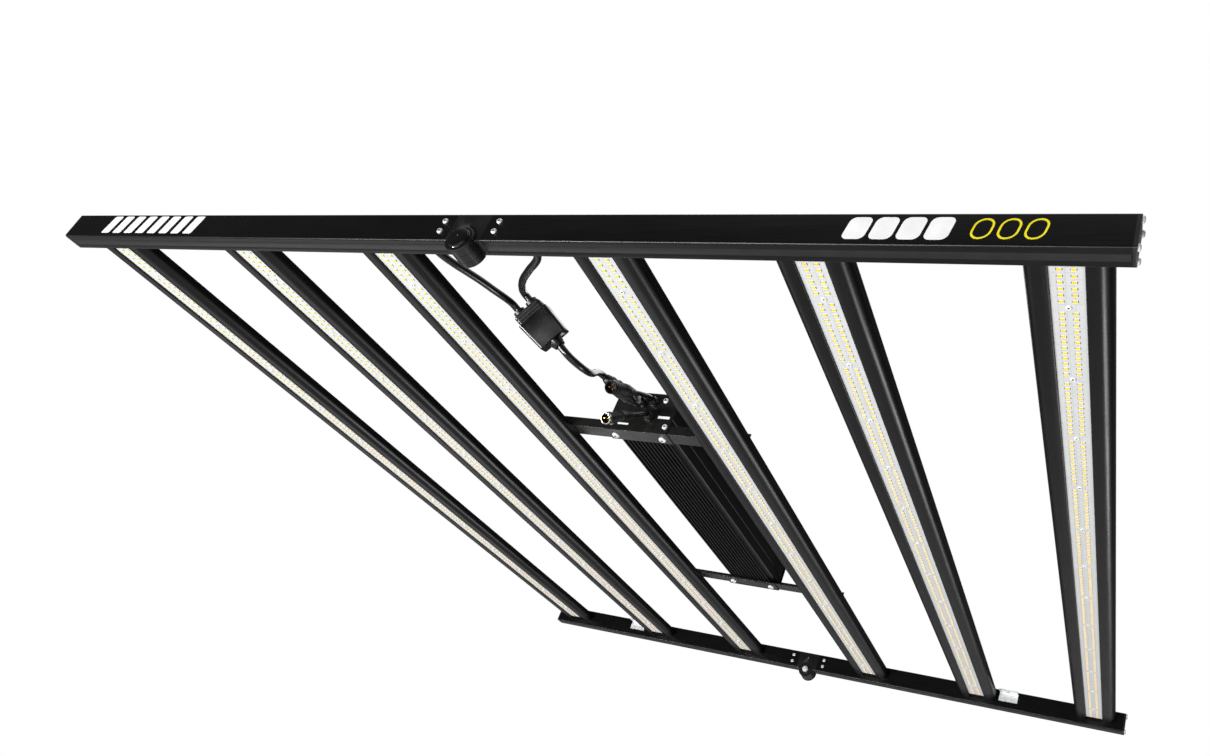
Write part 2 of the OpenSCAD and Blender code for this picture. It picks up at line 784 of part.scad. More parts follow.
// Round inlet with three pins in its socket
module pin_connector(face, back, r, pins, pin_ring) {
    l = norm(back - face);
    color(black_plastic) aimed(face, back) difference() {
        union() {
            cylinder(r = r, h = 9);
            translate([0, 0, 9]) cylinder(r = r - 1.2, h = l * 0.35);
            translate([0, 0, 9 + l * 0.35]) cylinder(r = r - 0.4, h = 8);
            translate([0, 0, 17 + l * 0.35]) {
                cylinder(r1 = r - 0.8, r2 = 4.2, h = l * 0.65 - 17);
            }
        }
        translate([0, 0, -through]) cylinder(r = r - 1.6, h = 9 + through);
    }
    color("#c9a24a") aimed(face, back) for (k = [0 : pins - 1]) {
        rotate([0, 0, 360 * k / pins]) translate([pin_ring, 0, 2]) cylinder(r = 0.9, h = 8);
    }
}

// ---------- wiring inside the near rail ----------
module harness(hand, lead_x) {
    wire_y = y_out + rail_d / 2;
    z = feed_left_route[0][2];
    color(lead_black) quarter(-1, hand) {
        along_x(lead_x - 2, bar_x[2] + 2) translate([wire_y, z]) circle(2.2);
        rod_y([lead_x, wire_y, z], 3, feed_left_route[0][1] - 1 - wire_y);
        for (x = bar_x) {
            translate([x, wire_y, z]) cylinder(r = 1.8, h = wire_z - z + 1.5);
            rod_y([x, wire_y - 1, wire_z], 1.6, y_in - wire_y + 20);
        }
    }
}

rail(-1, 1, feed_right_route[0][0]);  // rail_near_right
rail(-1, -1, -feed_left_route[0][0]);  // rail_near_left
rail(1, 1, 0);  // rail_far_right
rail(1, -1, 0);  // rail_far_left
rail_covers(1);  // rail_covers_right
rail_covers(-1);  // rail_covers_left
end_caps(1);  // end_caps_right
end_caps(-1);  // end_caps_left
end_cap_screws(1);  // end_cap_screws_right
end_cap_screws(-1);  // end_cap_screws_left
hinge_block(-1, 1);  // hinge_block_near_right
hinge_block(-1, -1);  // hinge_block_near_left
hinge_block(1, 1);  // hinge_block_far_right
hinge_block(1, -1);  // hinge_block_far_left
pivot_bolts();
pivot_nuts();
knob(-1);  // knob_near
knob(1);  // knob_far
hinge_screws(1);  // hinge_screws_right
hinge_screws(-1);  // hinge_screws_left
led_bar(-bar_x[2]);  // led_bar_1
led_bar(-bar_x[1]);  // led_bar_2
led_bar(-bar_x[0]);  // led_bar_3
led_bar(bar_x[0]);  // led_bar_4
led_bar(bar_x[1]);  // led_bar_5
led_bar(bar_x[2]);  // led_bar_6
led_board(-bar_x[2]);  // led_board_1
led_board(-bar_x[1]);  // led_board_2
led_board(-bar_x[0]);  // led_board_3
led_board(bar_x[0]);  // led_board_4
led_board(bar_x[1]);  // led_board_5
led_board(bar_x[2]);  // led_board_6
board_screws(1);  // board_screws_right
board_screws(-1);  // board_screws_left
bar_screws(1);  // bar_screws_right
bar_screws(-1);  // bar_screws_left
hanging_brackets(1);  // hanging_brackets_right
hanging_brackets(-1);  // hanging_brackets_left
driver_case();
end_plate(-1, true);  // driver_front_plate
end_plate(1, false);  // driver_rear_plate
driver_circuit();
driver_screws();
driver_brackets();
bracket_pads();
bracket_bolts();
cable_glands();
splitter_body();
splitter_cap();
color(lead_black) lead(feed_left_route, feed_d);  // feed_lead_left
color(lead_black) lead(feed_right_route, feed_d);  // feed_lead_right
color(lead_black) lead(main_route, main_d);  // splitter_lead
output_coupling();
color(lead_black) lead(output_route, pigtail_d);  // output_pigtail
color(lead_black) lead(mains_route, pigtail_d);  // mains_pigtail
pin_connector(mains_face, mains_back, 8, 3, 3);  // mains_connector
color(lead_black) lead(control_route, pigtail_d);  // control_pigtail
union() {  // control_connector
    pin_connector(control_face, control_back, 7, 2, 2.6);
}
harness(1, feed_right_route[0][0]);  // harness_right
harness(-1, -feed_left_route[0][0]);  // harness_left
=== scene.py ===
# %% [markdown]
# # A folding LED grow light
#
# Six LED bars hang between two end rails. Each rail is cut and hinged in the middle, so that the
# left half folds under the right one. A finned driver lies across the two middle bars and feeds
# both halves through a splitter. The exact model is loaded first. It fixes every size and every
# joint, and this lesson dresses it: it rounds the edges, adds the small parts and makes the
# finishes.

# %% Load the frame
import bpy, bmesh, json, math
from mathutils import Matrix, Vector, geometry


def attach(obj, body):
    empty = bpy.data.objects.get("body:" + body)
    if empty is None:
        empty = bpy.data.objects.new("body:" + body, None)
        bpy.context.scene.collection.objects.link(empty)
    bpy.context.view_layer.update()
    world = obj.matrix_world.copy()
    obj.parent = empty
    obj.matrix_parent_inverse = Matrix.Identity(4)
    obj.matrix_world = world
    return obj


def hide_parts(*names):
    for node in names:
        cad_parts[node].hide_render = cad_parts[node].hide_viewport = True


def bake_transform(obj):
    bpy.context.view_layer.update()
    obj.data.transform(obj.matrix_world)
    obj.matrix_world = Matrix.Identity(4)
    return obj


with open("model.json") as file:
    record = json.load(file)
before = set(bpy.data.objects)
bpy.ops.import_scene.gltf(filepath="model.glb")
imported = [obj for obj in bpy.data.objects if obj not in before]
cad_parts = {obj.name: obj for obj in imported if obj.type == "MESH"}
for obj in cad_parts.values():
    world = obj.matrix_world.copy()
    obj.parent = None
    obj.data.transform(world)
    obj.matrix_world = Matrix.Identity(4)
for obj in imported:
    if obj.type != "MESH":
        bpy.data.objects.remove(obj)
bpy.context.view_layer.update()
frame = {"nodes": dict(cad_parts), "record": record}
MM = 0.001

# %% [markdown]
# ## The camera
#
# The light hangs overhead and is seen from below its near right corner, so that both the near
# rail and the lit side of the bars show. The three rows below are the directions of the picture:
# to its right, to its top, and back towards the camera. A lens a little wider than normal and a
# small shift keep the bars' spread as the eye would see it from this close.

# %% Camera
camera = bpy.data.objects.new("camera", bpy.data.cameras.new("camera"))
bpy.context.scene.collection.objects.link(camera)
bpy.context.scene.camera = camera
RIGHT, DOWN, FORWARD = ((0.9208, 0.2741, 0.2775), (0.1064, 0.5080, -0.8548),
                        (-0.3753, 0.8166, 0.4386))
turn = Matrix((RIGHT, [-v for v in DOWN], [-v for v in FORWARD])).transposed()
camera.matrix_world = Matrix.Translation(Vector((610.2, -1043.7, -487.8)) * MM) @ turn.to_4x4()
camera.data.sensor_width = 36
camera.data.lens = 27.45
camera.data.shift_x, camera.data.shift_y = -0.1656, 0.0843
camera.data.clip_start, camera.data.clip_end = 0.05, 50
print("camera at", [round(v, 3) for v in camera.location], "lens", camera.data.lens)

# %% [markdown]
# ## Tools for materials
#
# Colours are written as the hex values that a paint chart gives. Blender reckons with linear
# light, so one function turns them. Another adds a shader node: its settings are attributes, and
# each of its sockets gets either a number or a link.

# %% Colour and node helpers
def linear(code):
    """A hex colour such as #1b1b1a as linear red, green, blue and alpha."""
    parts = [int(code[i:i + 2], 16) / 255 for i in (1, 3, 5)]
    return [v / 12.92 if v <= 0.04045 else ((v + 0.055) / 1.055) ** 2.4 for v in parts] + [1]


def add(tree, kind, sockets=(), **settings):
    """Adds one shader node. sockets maps a socket's name or number to a value or a link."""
    node = tree.nodes.new("ShaderNode" + kind)
    for name, value in settings.items():
        setattr(node, name, value)
    for name, value in dict(sockets).items():
        if isinstance(value, bpy.types.NodeSocket):
            tree.links.new(value, node.inputs[name])
        else:
            node.inputs[name].default_value = value
    return node


def blank(name):
    """A new material with an empty node tree, and its Principled shader wired to the output."""
    material = bpy.data.materials.new(name)
    material.use_nodes = True
    tree = material.node_tree
    tree.nodes.clear()
    shader = add(tree, "BsdfPrincipled")
    add(tree, "OutputMaterial", {"Surface": shader.outputs["BSDF"]})
    return material, tree, shader


def grain(tree, size_mm, stretch=(1, 1, 1), detail=3):
    """Noise whose grains are size_mm wide, stretched by the given factors along X, Y and Z."""
    place = add(tree, "TexCoord").outputs["Object"]
    scale = [1 / (size_mm * MM * s) for s in stretch]
    turned = add(tree, "Mapping", {"Vector": place, "Scale": scale}).outputs["Vector"]
    return add(tree, "TexNoise", {"Vector": turned, "Scale": 1, "Detail": detail}).outputs["Fac"]


def spread(tree, value, low, high, start=0.3, end=0.7):
    """Turns a noise value into a range, such as from a smooth to a rough roughness."""
    return add(tree, "MapRange", {"Value": value, "From Min": start, "From Max": end,
                                  "To Min": low, "To Max": high}).outputs["Result"]


def tint(tree, value, first, second, start=0.3, end=0.7):
    """Blends two hex colours by a noise value."""
    ramp = add(tree, "ValToRGB", {"Fac": value})
    ramp.color_ramp.elements[0].position, ramp.color_ramp.elements[1].position = start, end
    ramp.color_ramp.elements[0].color = linear(first)
    ramp.color_ramp.elements[1].color = linear(second)
    return ramp.outputs["Color"]


def relief(tree, value, depth_mm, strength=1.0):
    """Turns a noise value into a bump of that depth."""
    return add(tree, "Bump", {"Height": value, "Distance": depth_mm * MM,
                              "Strength": strength}).outputs["Normal"]


def set_up(tree, shader, **values):
    """Gives the Principled shader its numbers and links; a name's _ stands for a space."""
    for name, value in values.items():
        socket = shader.inputs[name.replace("_", " ")]
        if isinstance(value, bpy.types.NodeSocket):
            tree.links.new(value, socket)
        else:
            socket.default_value = value


# %% [markdown]
# ## Black anodised aluminium
#
# Rails, bars and the driver's case are aluminium pushed through a die, etched matt and dyed
# black in the anodising bath. The die leaves fine lines along the whole length, and the dyed
# oxide keeps a trace of the metal's sheen under it. So the shader is half metal, dark, with a
# roughness near 0.3, and the noise is drawn out 60 times along the extrusion. Real die lines are
# some 0.2 mm apart; they are drawn 1.2 mm apart here, the finest that shows.

# %% Anodised extrusions, one material for each direction
def anodised(name, stretch, dark, light, rough):
    material, tree, shader = blank(name)
    lines = grain(tree, 1.2, stretch, 2)
    clouds = grain(tree, 45)
    set_up(tree, shader, Base_Color=tint(tree, clouds, dark, light), Metallic=0.5,
           Roughness=spread(tree, lines, rough - 0.05, rough + 0.07),
           Normal=relief(tree, lines, 0.05, 0.5))
    return material


rail_black = anodised("black_anodised_rail", (60, 1, 1), "#0d0d0d", "#131313", 0.30)
bar_black = anodised("black_anodised_bar", (1, 60, 1), "#0d0d0d", "#131313", 0.30)
case_black = anodised("black_anodised_case", (1, 60, 1), "#101010", "#171717", 0.38)
print("anodised finishes:", rail_black.name, bar_black.name, case_black.name)

# %% [markdown]
# ## Powder coat and moulded plastics
#
# Hinge blocks, end plates and brackets are powder coated. The powder melts into a skin with a
# shallow orange peel about 1.5 mm across. Caps, knobs, glands and the splitter are injection
# moulded nylon and ABS from spark-eroded moulds, which leave an even fine grain. Both are
# dielectrics, with an index of refraction of about 1.5.

# %% Powder coat and plastics
def black_skin(name, peel_mm, depth_mm, dark, light, rough, index):
    material, tree, shader = blank(name)
    peel = grain(tree, peel_mm)
    clouds = grain(tree, 18)
    set_up(tree, shader, Base_Color=tint(tree, clouds, dark, light), IOR=index,
           Roughness=spread(tree, clouds, rough - 0.05, rough + 0.06),
           Normal=relief(tree, peel, depth_mm))
    return material


powder_coat = black_skin("black_powder_coat", 1.5, 0.02, "#131312", "#1a1a19", 0.25, 1.50)
nylon = black_skin("moulded_nylon", 0.6, 0.01, "#0e0e0e", "#141414", 0.34, 1.53)
abs_shell = black_skin("moulded_abs", 0.7, 0.006, "#0b0b0b", "#101010", 0.24, 1.54)
gloss_cap = black_skin("polished_abs", 0.9, 0.003, "#0a0a0a", "#0f0f0f", 0.14, 1.54)
pad_rubber = black_skin("rubber_pad", 0.5, 0.06, "#1d1d1d", "#272727", 0.80, 1.52)

# %% [markdown]
# ## Lead sheath
#
# The leads are soft PVC over twisted wires. The sheath is glossy and drawn smooth over the
# twist, so its shine wavers a little along the length. A coarse, shallow bump gives that.

# %% Lead sheath
lead_sheath, tree, shader = blank("pvc_sheath")
twist = grain(tree, 7)
set_up(tree, shader, Base_Color=tint(tree, twist, "#0b0b0b", "#121212"), IOR=1.53,
       Roughness=spread(tree, twist, 0.18, 0.26), Normal=relief(tree, twist, 0.08, 0.5))

# %% [markdown]
# ## Zinc flake, nickel and gold
#
# Screws and hanging brackets are steel with a coat of zinc flakes in a clear binder. The binder
# scatters over half of the light, so they look silver from every side, and the shader is less
# than half metal. Pins are gold over nickel: pure metals, whose base colour is the colour of the
# reflection.

# %% Metals
def plated(name, dark, light, rough, cloud_mm, metallic=1.0):
    material, tree, shader = blank(name)
    clouds = grain(tree, cloud_mm)
    set_up(tree, shader, Base_Color=tint(tree, clouds, dark, light), Metallic=metallic,
           Roughness=spread(tree, clouds, rough - 0.06, rough + 0.08),
           Normal=relief(tree, grain(tree, 0.5), 0.01))
    return material


zinc = plated("zinc_flake_steel", "#dfe1e2", "#f3f4f5", 0.42, 6, 0.4)
nickel = plated("nickel_plated_brass", "#b3ada2", "#d6d1c6", 0.22, 4)
gold = plated("gold_plated_pin", "#c9952f", "#e8bd5c", 0.20, 3)

# %% [markdown]
# ## White solder mask
#
# An LED board is aluminium with copper tracks under a white solder mask. The mask is a semi-gloss
# ink. The tracks stand 0.07 mm proud under it, in lengths from one LED to the next, and their
# edges catch the light. A brick pattern with the LEDs' own pitch gives those edges. Its mortar
# is a little darker, where the mask is thin.

# %% Solder mask
BOARD_PITCH = 1074 / 156
solder_mask, tree, shader = blank("white_solder_mask")
place = add(tree, "TexCoord").outputs["Object"]
flat = add(tree, "Mapping", {"Vector": place, "Rotation": (0, 0, math.pi / 2)}).outputs["Vector"]
tracks = add(tree, "TexBrick", {"Vector": flat, "Scale": 1 / (BOARD_PITCH * MM),
             "Mortar Size": 0.07, "Mortar Smooth": 0.4, "Brick Width": 2.0, "Row Height": 0.94,
             "Color1": linear("#c4c5c5"), "Color2": linear("#bfc0c0"),
             "Mortar": linear("#b6b8b8")})
mottle = grain(tree, 30)
inked = add(tree, "Mix", {0: spread(tree, mottle, 0.0, 0.25), 6: tracks.outputs["Color"],
                          7: linear("#b9bbbb")}, data_type="RGBA").outputs[2]
set_up(tree, shader, Base_Color=inked, IOR=1.5, Roughness=spread(tree, mottle, 0.32, 0.42),
       Normal=relief(tree, tracks.outputs["Fac"], -0.07, 0.25))

# %% [markdown]
# ## LED packages
#
# A white LED is a small white cup, moulded from PPA or EMC, filled with silicone that holds
# yellow phosphor. Unlit it looks bright yellow, with a soft satin skin. Cup and filling vary a
# little from package to package, which a noise as coarse as the pitch gives.

# %% LED cup, phosphor, solder and printed marks
def simple(name, dark, light, rough, size_mm, index=1.5, metallic=0.0):
    material, tree, shader = blank(name)
    clouds = grain(tree, size_mm, detail=1)
    set_up(tree, shader, Base_Color=tint(tree, clouds, dark, light), IOR=index,
           Roughness=spread(tree, clouds, rough - 0.05, rough + 0.05), Metallic=metallic)
    return material


led_cup = simple("moulded_ppa_cup", "#dddbd3", "#e8e7e2", 0.40, 9)
phosphor = simple("phosphor_silicone", "#ffc000", "#ffce00", 0.5, 9, 1.41)
solder = simple("tinned_pad", "#8f9294", "#b9bcbe", 0.38, 5, metallic=1.0)
print_white = simple("screen_print_white", "#ececec", "#f6f6f6", 0.45, 12)
print_yellow = simple("screen_print_yellow", "#e6d400", "#f2e21a", 0.45, 12)
# Painted shadow: the dark finish of screw sockets and board-screw recesses stands for the shade in
# the hollow.
socket_painted_shadow = simple("screw_socket_shadow", "#1b1b1b", "#2a2a2a", 0.55, 3)
board_green = simple("green_solder_mask", "#1d4a2c", "#2f6a3f", 0.35, 8)
print("materials:", len(bpy.data.materials))

# %% [markdown]
# ## Tools for pieces
#
# A finished piece has its object at the origin and its place in its mesh, as the exact parts
# have. `make` closes a bmesh into such a piece, shades it smooth between its sharp edges and says
# which body it rides on. `copied` takes an exact part's own triangles, merges them, turns flat
# patches back into whole faces and rounds the long sharp edges, because no real edge is a knife.
# `fold` gives a bend in sheet metal the wider round that a press brake leaves.

# %% Piece helpers
EDGE_ANGLE = math.radians(32)


def make(name, bm, body, materials, replaced=()):
    """Turns a bmesh into a piece on a body; the volume is printed as a check on its faces."""
    mesh = bpy.data.meshes.new(name)
    volume = bm.calc_volume(signed=True) / MM ** 3
    bm.to_mesh(mesh)
    bm.free()
    mesh.shade_smooth()
    mesh.set_sharp_from_angle(angle=EDGE_ANGLE)
    for material in materials:
        mesh.materials.append(material)
    piece = bpy.data.objects.new(name, mesh)
    bpy.context.scene.collection.objects.link(piece)
    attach(piece, body)
    if replaced:
        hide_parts(*replaced)
    print(f"{name}: {len(mesh.polygons)} faces, {volume:.0f} mm3")
    return piece


def body_of(node):
    """The body that the record gives a node."""
    bodies = frame["record"]["behaviour"]["bodies"]
    return next(body for body, nodes in bodies.items() if node in nodes)


def copied(node, edge_mm=0.0, shortest_mm=4.0, segments=2):
    """A merged copy of an exact part with its long sharp edges rounded."""
    bm = bmesh.new()
    bm.from_mesh(frame["nodes"][node].data)
    bmesh.ops.remove_doubles(bm, verts=bm.verts, dist=2e-6)
    bmesh.ops.dissolve_limit(bm, angle_limit=math.radians(0.5), verts=bm.verts, edges=bm.edges)
    if edge_mm:
        sharp = [e for e in bm.edges if e.is_manifold and e.calc_length() > shortest_mm * MM
                 and e.calc_face_angle() > EDGE_ANGLE]
        bmesh.ops.bevel(bm, geom=sharp, offset=edge_mm * MM, offset_type="OFFSET",
                        segments=segments, profile=0.5, affect="EDGES", material=-1,
                        clamp_overlap=True)
    return bm


def fold(bm, y, z, radius_mm):
    """Rounds the outer edge of a bend in sheet metal, at y and z in mm on both sides."""
    bend = [e for e in bm.edges if all(abs(abs(v.co.y) / MM - y) < 0.02
                                       and abs(v.co.z / MM - z) < 0.02 for v in e.verts)]
    bmesh.ops.bevel(bm, geom=bend, offset=radius_mm * MM, offset_type="OFFSET", segments=5,
                    profile=0.5, affect="EDGES", material=-1, clamp_overlap=True)
    return bm


def dress(node, material, edge_mm=0.0, shortest_mm=4.0):
    """The rounded copy stands for its exact part, with one finish."""
    return make(node + "_finished", copied(node, edge_mm, shortest_mm), body_of(node),
                [material], [node])


def aim(at, towards):
    """Puts local Z on a direction, at a point given in mm."""
    turned = Vector(towards).to_track_quat("Z", "Y").to_matrix().to_4x4()
    return Matrix.Translation(Vector(at) * MM) @ turned


def join(bm, part, matrix):
    """Adds a small bmesh to a larger one in its place."""
    part.transform(matrix)
    mesh = bpy.data.meshes.new("part")
    part.to_mesh(mesh)
    bm.from_mesh(mesh)
    bpy.data.meshes.remove(mesh)
    part.free()


def turned_part(profile, steps=32, colours=None):
    """Spins a profile of (radius, height) in mm round Z. It starts and ends on the axis.
    colours gives a material number for each step of the profile."""
    bm = bmesh.new()
    verts = [bm.verts.new((r * MM, 0, z * MM)) for r, z in profile]
    for pair in zip(verts, verts[1:]):
        bm.edges.new(pair)
    bmesh.ops.spin(bm, geom=verts + list(bm.edges), axis=(0, 0, 1), cent=(0, 0, 0),
                   angle=2 * math.pi, steps=steps, use_merge=True)
    bmesh.ops.remove_doubles(bm, verts=bm.verts, dist=1e-6)
    bmesh.ops.recalc_face_normals(bm, faces=bm.faces)
    for face in bm.faces if colours else ():
        middle = face.calc_center_median()
        height = middle.z / MM
        radius = max(math.hypot(v.co.x, v.co.y) for v in face.verts) / MM
        face.material_index = colours(radius, height)
    return bm


# %% [markdown]
# ## The leads
#
# Two feed leads leave the near rail and meet in the splitter's cap, one lead runs on from the
# splitter to the driver's output, and three short tails join the driver's glands to their
# connectors. Each is a piece of sheathed cable with a fixed length. A smooth curve through the
# chosen points is swept with a round section: the points are the same as the exact model's, so
# the looks and the collisions agree. A mesh is made from the curve. The left feed lead crosses the
# fold and has to bend with it; here it is left on neither half, and nothing bends it.

# %% Routes in mm
FEED_D, MAIN_D, TAIL_D = 7.5, 8.0, 6.0
FEED_LEFT = [(-57, -551, -19), (-57, -540, -19), (-55.3, -531, -18.4), (-52.4, -519, -16.6),
             (-50.2, -505, -13.2), (-47.9, -488, -9), (-46.4, -470, -5), (-45.8, -454, -0.8),
             (-45, -442, 1.6), (-41.7, -435.3, -0.4), (-37.5, -432.1, -3.2)]
FEED_RIGHT = [(59, -551, -19), (58.5, -541, -18.8), (53, -531, -17.4), (43.5, -522, -15.6),
              (31.9, -513, -13.4), (20.5, -503.5, -10.8), (9.4, -494, -7.9),
              (-0.5, -484.5, -4.7), (-9.4, -475, -1.1), (-17.5, -465.5, 3.2),
              (-25.6, -456, 7.8), (-31, -449.8, 11.5), (-34, -445.2, 13.6),
              (-35, -441.8, 14.3), (-34.2, -439.3, 13.7), (-31.8, -437.4, 12),
              (-27.6, -434.2, 9.2)]
MAIN = [(1.6, -407.2, -19.8), (5.8, -404, -22.6), (14, -396.5, -28.4), (19, -382, -29),
        (16, -363, -22.5), (8, -346, -12.5), (-3, -330, 0), (-11, -317, 9.2),
        (-14.4, -309, 13.9), (-15.2, -303, 15.6), (-13.9, -298, 15.9)]
OUTPUT = [(3.5, -254, 13.5), (4.9, -250.4, 13.4), (5.4, -247.4, 14.5), (4.7, -245, 17),
          (2.3, -243.2, 20.8), (-1.3, -241.2, 25.4), (-4, -238.6, 29.4), (-4.9, -235.2, 31.4),
          (-5, -230, 31.8)]
MAINS = [(16, -278, 12), (14.8, -266, 18.8), (12.8, -254, 25.4), (11.3, -245, 30),
         (10.2, -237.5, 33.1), (10, -230, 33.8)]
CONTROL = [(12, -260, -8), (12.4, -253, -2.4), (12.4, -247, 2.2), (12, -241.5, 6.6),
           (11.6, -236, 10.4), (11.5, -230, 12.3)]
MAINS_FACE, CONTROL_FACE = (18, -322, -12), (9, -297, -38)


def smooth_route(route, between=4):
    """Points of a smooth curve through the route, in metres: a cubic between each pair."""
    ends = [Vector(p) * MM for p in route]
    slopes = [(ends[min(i + 1, len(ends) - 1)] - ends[max(i - 1, 0)]) / 6
              for i in range(len(ends))]
    slopes[0], slopes[-1] = (ends[1] - ends[0]) / 3, (ends[-1] - ends[-2]) / 3
    points = []
    for i in range(len(ends) - 1):
        cubic = geometry.interpolate_bezier(ends[i], ends[i] + slopes[i],
                                            ends[i + 1] - slopes[i + 1], ends[i + 1],
                                            between + 1)
        points += cubic[:-1]
    return points + [ends[-1]]


def swept(name, path, diameter_mm):
    """A tube mesh round a path, with closed ends."""
    curve = bpy.data.curves.new(name, "CURVE")
    curve.dimensions = "3D"
    curve.bevel_depth, curve.bevel_resolution = diameter_mm / 2 * MM, 4
    curve.use_fill_caps = True
    spline = curve.splines.new("POLY")
    spline.points.add(len(path) - 1)
    for point, place in zip(spline.points, path):
        point.co = (*place, 1)
    holder = bpy.data.objects.new(name, curve)
    mesh = bpy.data.meshes.new_from_object(holder)
    bpy.data.objects.remove(holder)
    bpy.data.curves.remove(curve)
    mesh.name = name
    mesh.materials.clear()
    mesh.materials.append(lead_sheath)
    mesh.shade_smooth()
    piece = bpy.data.objects.new(name, mesh)
    bpy.context.scene.collection.objects.link(piece)
    return piece


def path_length(path):
    return sum((b - a).length for a, b in zip(path, path[1:]))


# %% Leads
cord_paths = {}
for name, route, diameter in (("feed_lead_left", FEED_LEFT, FEED_D),
                              ("feed_lead_right", FEED_RIGHT, FEED_D),
                              ("splitter_lead", MAIN, MAIN_D),
                              ("output_pigtail", OUTPUT, TAIL_D),
                              ("mains_pigtail", MAINS, TAIL_D),
                              ("control_pigtail", CONTROL, TAIL_D)):
    path = smooth_route(route)
    piece = swept(name + "_sheath", path, diameter)
    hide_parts(name)
    if name == "feed_lead_left":
        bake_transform(piece)
    else:
        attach(piece, "right_half")
    cord_paths[name] = (piece, path, diameter * MM)
    print(name, "is", round(path_length(path) / MM, 1), "mm long")

# %% [markdown]
# ## Connectors and coupling
#
# The mains inlet is a round locking plug: a ring with three gilt pins in its socket, a ribbed
# grip and a tapered tail. The control inlet is smaller and has a bright nickel ring. The output
# is a plug and socket joined by a ribbed ring nut. They are moulded round shapes, so a profile is
# spun round the axis, and the grip's ribs are part of the profile.

# %% Connector shapes
def grip(start, length, low, high, ribs):
    """Profile points of a ribbed grip."""
    step = length / ribs
    points = []
    for i in range(ribs):
        z = start + i * step
        points += [(low, z), (low, z + 0.3 * step), (high, z + 0.42 * step),
                   (high, z + 0.88 * step)]
    return points + [(low, start + length)]


def pin_connector(name, node, face, back, r, pins, ring, rim_material):
    """A round inlet: shell, rim, pins and a small key inside the socket."""
    length = (Vector(back) - Vector(face)).length
    waist = 9 + length * 0.35
    shell = ([(0, 8.2), (r - 1.6, 8.2), (r - 1.6, 0.5), (r - 1.3, 0.1), (r - 0.5, 0), (r, 0.6),
              (r, 3.4), (r - 0.5, 3.8), (r - 0.5, 4.6), (r, 5.0), (r, 8.6), (r - 1.2, 9.2)]
             + grip(9.6, waist - 10.4, r - 1.7, r - 1.2, 5)
             + [(r - 1.2, waist), (r - 0.4, waist + 0.5), (r - 0.4, waist + 7.5),
                (r - 0.8, waist + 8.1)])
    tail = waist + 8.1
    for i in range(5):
        t, u = tail + (length - tail) * i / 5, tail + (length - tail) * (i + 0.62) / 5
        wide, next_wide = r - 0.9 - (r - 5.0) * i / 5, r - 0.9 - (r - 5.0) * (i + 0.6) / 5
        shell += [(wide, t + 0.2), (next_wide, u), (next_wide - 0.7, u + 0.1),
                  (next_wide - 0.75, tail + (length - tail) * (i + 0.98) / 5)]
    shell += [(3.6, length), (0, length)]
    bm = turned_part(shell, 40, lambda rad, z: 1 if z < 3.9 and rad > r - 1.55 else 0)
    for k in range(pins):
        angle = 2 * math.pi * k / pins
        pin = turned_part([(0, 2.0), (0.55, 2.0), (0.9, 2.5), (0.9, 9.2), (0, 9.2)], 12,
                          lambda rad, z: 2)
        join(bm, pin, Matrix.Translation((ring * MM * math.cos(angle),
                                          ring * MM * math.sin(angle), 0)))
    key = bmesh.new()
    bmesh.ops.create_cube(key, size=1, matrix=Matrix.Translation((0, (r - 2.0) * MM, 4.6 * MM))
                          @ Matrix.Diagonal((1.6 * MM, 0.9 * MM, 7.4 * MM, 1)))
    join(bm, key, Matrix.Identity(4))
    bm.transform(aim(face, Vector(back) - Vector(face)))
    return make(name, bm, "right_half", [nylon, rim_material, gold], [node])


mains_inlet = pin_connector("mains_inlet", "mains_connector", MAINS_FACE, MAINS[0], 8, 3, 3.0,
                            gloss_cap)
pin_connector("control_inlet", "control_connector", CONTROL_FACE, CONTROL[0], 7, 2, 2.6, nickel)

# %% [markdown]
# The coupling is one profile too: the plug's ribbed tail, the ring nut, and the socket's tail.

# %% Output coupling
start, end = Vector(MAIN[-1]), Vector(OUTPUT[0])
length = (end - start).length           # in mm
profile = ([(0, 0), (4.6, 0), (5.0, 0.5)]
           + [(5 + 0.3 * i + 0.4 * (i % 2), 1 + i * 1.1) for i in range(6)]
           + [(7.0, 8), (7.6, 8.5), (7.6, 15.2), (8.2, 15.8), (9.2, 16.4)]
           + grip(16.6, 11.6, 8.7, 9.2, 6)
           + [(8.4, 28.9), (7.8, 29.4), (7.8, length - 9.6), (7.4, length - 9)]
           + [(6.4 - 0.5 * i + 0.35 * ((i + 1) % 2), length - 7.6 + i * 1.4) for i in range(5)]
           + [(4.2, length - 0.6), (3.8, length), (0, length)])
bm = turned_part(profile, 40)
bm.transform(aim(start, end - start))
output_joint = make("output_joint", bm, "right_half", [nylon], ["output_coupling"])

# %% [markdown]
# ## Splitter box
#
# The splitter joins the two feed leads to the driver's lead. It is a potted box of moulded ABS
# with a ribbed cap, and a tapered relief holds the lead at its lower end. The exact part has the
# right form, so a copy of it gets rounded edges, and narrows a little towards the relief, as
# a box does that has to slip out of its mould.

# %% Splitter
SPLITTER_AT, SPLITTER_L, TAPER = (-12.5, -417.9, -10.4), 32, 0.09
placed = aim(SPLITTER_AT, Vector(MAIN[0]) - Vector(SPLITTER_AT))
bm = copied("splitter_body", 0.9)
bm.transform(placed.inverted())
for v in bm.verts:
    if v.co.z / MM < SPLITTER_L / 2 + 0.5:
        narrow = 1 - TAPER * (v.co.z / MM / SPLITTER_L + 0.5)
        v.co.x, v.co.y = v.co.x * narrow, v.co.y * narrow
bm.transform(placed)
splitter_box = make("splitter_box", bm, "right_half", [abs_shell], ["splitter_body"])
splitter_lid = dress("splitter_cap", nylon, 0.35, 3.0)
